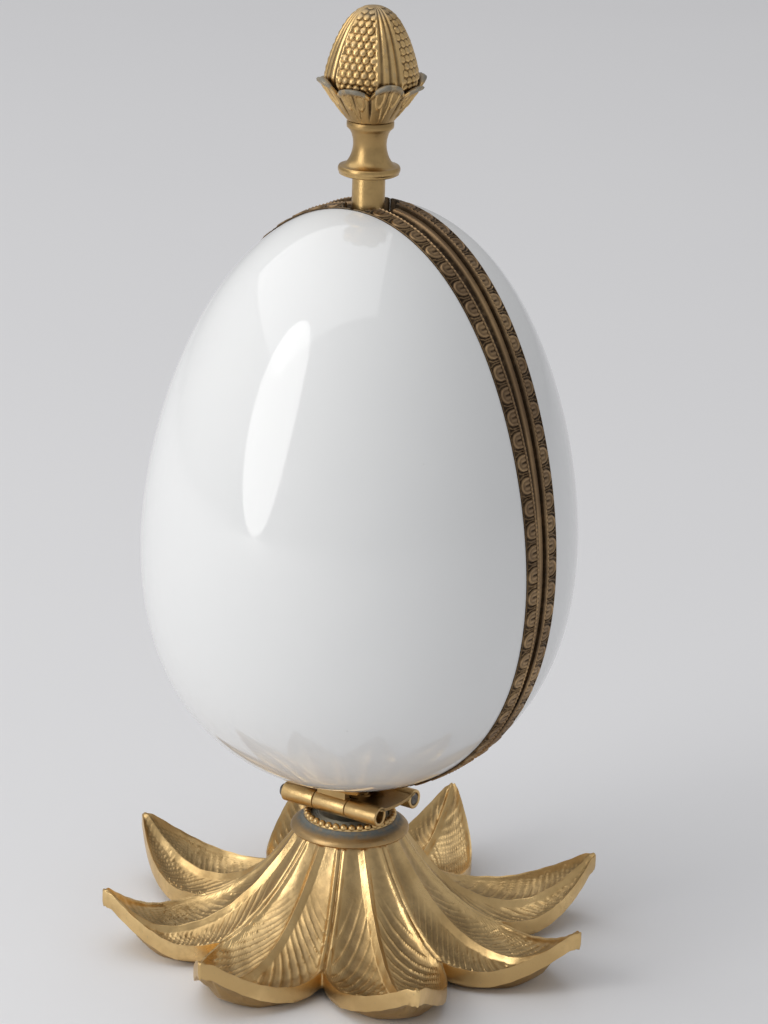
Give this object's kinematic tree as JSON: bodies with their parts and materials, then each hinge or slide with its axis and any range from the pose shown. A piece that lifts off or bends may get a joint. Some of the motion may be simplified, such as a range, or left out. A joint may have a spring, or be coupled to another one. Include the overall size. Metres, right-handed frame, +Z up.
{
  "type": "egg-shaped trinket box",
  "caption": "Upright porcelain egg split into two hinged half shells with gilt ornamented rims, on a cast leaf foot, with a central stem and flower-bud finial.",
  "frame": {"origin": "on the table under the stem's axis, at the bottom centre of the bounding box", "axes": "+Z up along the stem; +X along the hinge axes, in the seam plane between the half shells; the front half is on the -Y side"},
  "size_m": [0.1379, 0.1372, 0.249],
  "materials": {
    "gilt_foot": "satin gilt casting with darker recesses",
    "gilt_trim": "satin gilt",
    "bronze_trim": "gilt with dark brown patina in the recesses",
    "grey_gilt": "grey-brown tarnish",
    "pin_steel": "dull",
    "porcelain": "smooth clear glaze"
  },
  "bodies": {
    "base": {"leaf_foot": "gilt_foot", "foot_collar": "grey_gilt", "pearl_ring": "gilt_trim", "neck": "grey_gilt", "hinge_plate": "gilt_trim", "front_fixed_knuckles": "gilt_trim", "rear_fixed_knuckles": "gilt_trim", "front_hinge_pin": "pin_steel", "rear_hinge_pin": "pin_steel", "stem": "gilt_trim", "foot_washer": "pin_steel", "foot_nut": "pin_steel", "finial_flange": "gilt_trim", "finial_calyx": "bronze_trim", "finial_bud": "gilt_trim", "finial_stud": "pin_steel", "dish": "gilt_trim", "dish_collar": "gilt_trim", "dish_screw": "pin_steel"},
    "front_half": {"front_shell": "porcelain", "front_rim": "bronze_trim", "front_knuckle": "gilt_trim", "front_strap": "gilt_trim", "front_rivets": "gilt_trim"},
    "rear_half": {"rear_shell": "porcelain", "rear_rim": "bronze_trim", "closing_lip": "gilt_trim", "rear_knuckle": "gilt_trim", "rear_strap": "gilt_trim", "rear_rivets": "gilt_trim"}
  },
  "joints": [
    {"name": "front_half_hinge", "type": "hinge", "parent": "base", "child": "front_half", "pos_m": [0, -0.008, 0.04], "axis": [1, 0, 0], "range_deg": [-0.6, 63.4]},
    {"name": "rear_half_hinge", "type": "hinge", "parent": "base", "child": "rear_half", "pos_m": [0, 0.008, 0.04], "axis": [-1, 0, 0], "range_deg": [-1.6, 61.8]}
  ]
}
